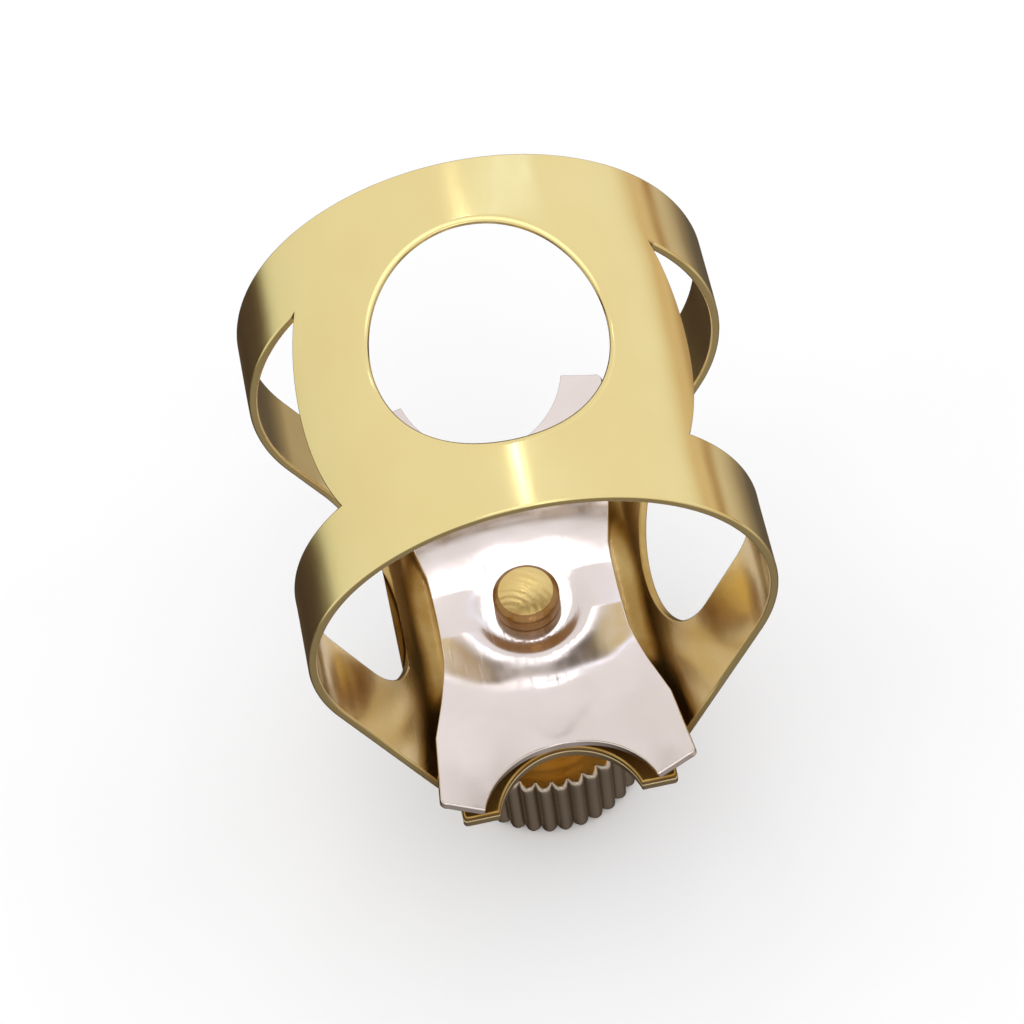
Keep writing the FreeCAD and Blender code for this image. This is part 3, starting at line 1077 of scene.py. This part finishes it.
def make_world():
    """Bright studio dome with soft brown bands that turns dark below the horizon."""
    world = bpy.data.worlds.new("studio")
    bpy.context.scene.world = world
    world.use_nodes = True
    tree = world.node_tree
    tree.nodes.clear()

    def math_node(kind, a, b=None, c=None):
        """One Math node; each input is a number or a socket."""
        m = tree.nodes.new("ShaderNodeMath")
        m.operation = kind
        for slot, value in enumerate((a, b, c)):
            if value is None:
                continue
            if isinstance(value, (int, float)):
                m.inputs[slot].default_value = value
            else:
                tree.links.new(value, m.inputs[slot])
        return m.outputs[0]

    out = tree.nodes.new("ShaderNodeOutputWorld")
    back = tree.nodes.new("ShaderNodeBackground")
    tree.links.new(back.outputs[0], out.inputs[0])
    coord = tree.nodes.new("ShaderNodeTexCoord")
    split = tree.nodes.new("ShaderNodeSeparateXYZ")
    tree.links.new(coord.outputs["Generated"], split.inputs[0])
    x, y, z = split.outputs
    noise = tree.nodes.new("ShaderNodeTexNoise")
    noise.inputs["Scale"].default_value = 2.2
    noise.inputs["Detail"].default_value = 1.5
    tree.links.new(coord.outputs["Generated"], noise.inputs["Vector"])
    wobble = math_node("MULTIPLY_ADD", noise.outputs["Fac"], 2 * BAND_WANDER, -BAND_WANDER)
    angle = math_node("ARCTAN2", x, z)
    angle = math_node("ADD", angle, wobble)
    turn = math_node("MULTIPLY_ADD", angle, 1 / (2 * math.pi), 0.5)
    ramp = tree.nodes.new("ShaderNodeValToRGB")
    tree.links.new(turn, ramp.inputs[0])
    els = ramp.color_ramp.elements
    while len(els) < len(DOME):
        els.new(0.5)
    for el, (degrees, colour) in zip(els, DOME):
        el.position = degrees / 360 + 0.5
        el.color = (*colour, 1)
    low = math_node("MULTIPLY", math_node("LESS_THAN", z, GLOW_BELOW), math_node("LESS_THAN", y, 0.0))
    glow = math_node("MULTIPLY", math_node("MULTIPLY", y, -GLOW), low)
    add = tree.nodes.new("ShaderNodeMix")
    add.data_type = "RGBA"
    add.blend_type = "ADD"
    add.inputs[0].default_value = 1.0
    tree.links.new(ramp.outputs[0], add.inputs[6])
    tree.links.new(glow, add.inputs[7])
    tree.links.new(add.outputs[2], back.inputs[0])
    back.inputs[1].default_value = 1.0


# The floor, in metres.
FLOOR_HALF = 1.2
FLOOR_GAP = 0.0001


def make_floor():
    """Wide white floor just under the part."""
    half = FLOOR_HALF
    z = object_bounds()[0].z - FLOOR_GAP
    corners = [(-half, -half, z), (half, -half, z), (half, half, z), (-half, half, z)]
    mesh = bpy.data.meshes.new("floor")
    mesh.from_pydata(corners, [], [(0, 1, 2, 3)])
    floor = bpy.data.objects.new("floor", mesh)
    bpy.context.scene.collection.objects.link(floor)
    mesh.materials.append(white_floor())
    floor.visible_glossy = False


# The camera, with its distance in metres and its lens in millimetres.
CAMERA_AZIMUTH = math.radians(-3.9)
CAMERA_ELEVATION = math.radians(57.4)
CAMERA_ROLL = math.radians(-8.3)
CAMERA_DISTANCE = 0.170
CAMERA_LENS = 107.2
# Point aimed at, in metres right of and below the part's origin as the camera sees it.
AIM_RIGHT = 0.00029
AIM_BELOW = 0.00272


def make_camera():
    """Camera in front of and above the part, aimed near its origin."""
    around = Vector((math.sin(CAMERA_AZIMUTH), -math.cos(CAMERA_AZIMUTH), 0))
    back = around * math.cos(CAMERA_ELEVATION) + Vector((0, 0, math.sin(CAMERA_ELEVATION)))
    level = Vector((math.cos(CAMERA_AZIMUTH), math.sin(CAMERA_AZIMUTH), 0))
    upright = back.cross(level)
    right = level * math.cos(CAMERA_ROLL) + upright * math.sin(CAMERA_ROLL)
    up = upright * math.cos(CAMERA_ROLL) - level * math.sin(CAMERA_ROLL)
    place = back * CAMERA_DISTANCE
    target = right * AIM_RIGHT - up * AIM_BELOW
    aim = (place - target).normalized()
    right = (right - aim * right.dot(aim)).normalized()
    up = aim.cross(right)
    data = bpy.data.cameras.new("camera")
    data.sensor_width = 36.0
    data.lens = CAMERA_LENS
    data.clip_start = 0.005
    data.clip_end = 10.0
    cam = bpy.data.objects.new("camera", data)
    bpy.context.scene.collection.objects.link(cam)
    cam.matrix_world = Matrix((
        (right.x, up.x, aim.x, place.x),
        (right.y, up.y, aim.y, place.y),
        (right.z, up.z, aim.z, place.z),
        (0, 0, 0, 1),
    ))
    bpy.context.scene.camera = cam


# Near end of the strip light behind the part, and a point that it runs towards,
# in metres like the rest of the lights.
STRIP_START = Vector((0.016, 0.214, 0.338))
STRIP_TOWARDS = Vector((0.158, 0.245, 0.273))
STRIP_LENGTH = 0.25
STRIP_WIDTH = 0.014
STRIP_OVERRUN = 0.01
STRIP_COLOUR = (0.35, 0.55, 1.0)


def make_lights():
    """Cool strip and lamp behind the part, a broad overhead and a small front key."""
    aim = STRIP_START.normalized()
    along = (STRIP_TOWARDS - STRIP_START).normalized()
    across = aim.cross(along).normalized()
    along = across.cross(aim)
    middle = STRIP_START + along * (STRIP_LENGTH / 2 - STRIP_OVERRUN)
    strip = area_light("window", middle, (0, 0, 0), (STRIP_LENGTH, STRIP_WIDTH), 0.013, STRIP_COLOUR)
    strip.rotation_euler = Matrix((along, across, aim)).transposed().to_euler()
    area_light("lamp", STRIP_START * 1.02, (0, 0, 0), (0.014, 0.03), 0.013)
    area_light("overhead", (0.0, -0.1, 0.6), (0, 0, -0.03), (0.4, 0.4), 0.32)
    area_light("key", (0.05, -0.40, 0.24), (0, 0, -0.01), (0.09, 0.06), 0.06)


# ---- build ------------------------------------------------------------------------------

# The centre of the cap's tool marks, off its axis.
CAP_MARKS = (1.3, 1.6)

MATERIALS = {
    "brass": lacquered_brass(),
    "nickel": nickel_silver(),
    "boss": turned_brass(
        "boss_brass", (0.46, 0.36, 0.20), (0.56, 0.45, 0.27), (0.24, 0.36), 260.0
    ),
    "screw": turned_brass(
        "screw_brass", (0.66, 0.47, 0.19), (0.78, 0.60, 0.28), (0.20, 0.34), 900.0
    ),
    # The cap's side colour is painted shade: darker brown on the faces that don't point up.
    "cap": turned_brass(
        "cap_brass", (0.66, 0.47, 0.17), (0.78, 0.60, 0.27), (0.22, 0.36), 700.0,
        centre=CAP_MARKS, side=(0.30, 0.16, 0.06),
    ),
    # The knob's orange top tones are painted reflection of the bridge's underside, and its grey-brown
    # side colour is painted shade on the flutes.
    "knob": turned_brass(
        "knob_brass", (0.66, 0.36, 0.06), (0.84, 0.50, 0.12), (0.20, 0.34), 420.0,
        side=(0.42, 0.35, 0.28),
    ),
}

make_world()
make_camera()
make_floor()
make_shell()
make_strap()
make_boss()
make_plate()
make_spindle()
make_cap()
make_knob()
make_lights()

scene = bpy.context.scene
scene.view_settings.view_transform = "Standard"
scene.cycles.max_bounces = 16
scene.cycles.glossy_bounces = 12
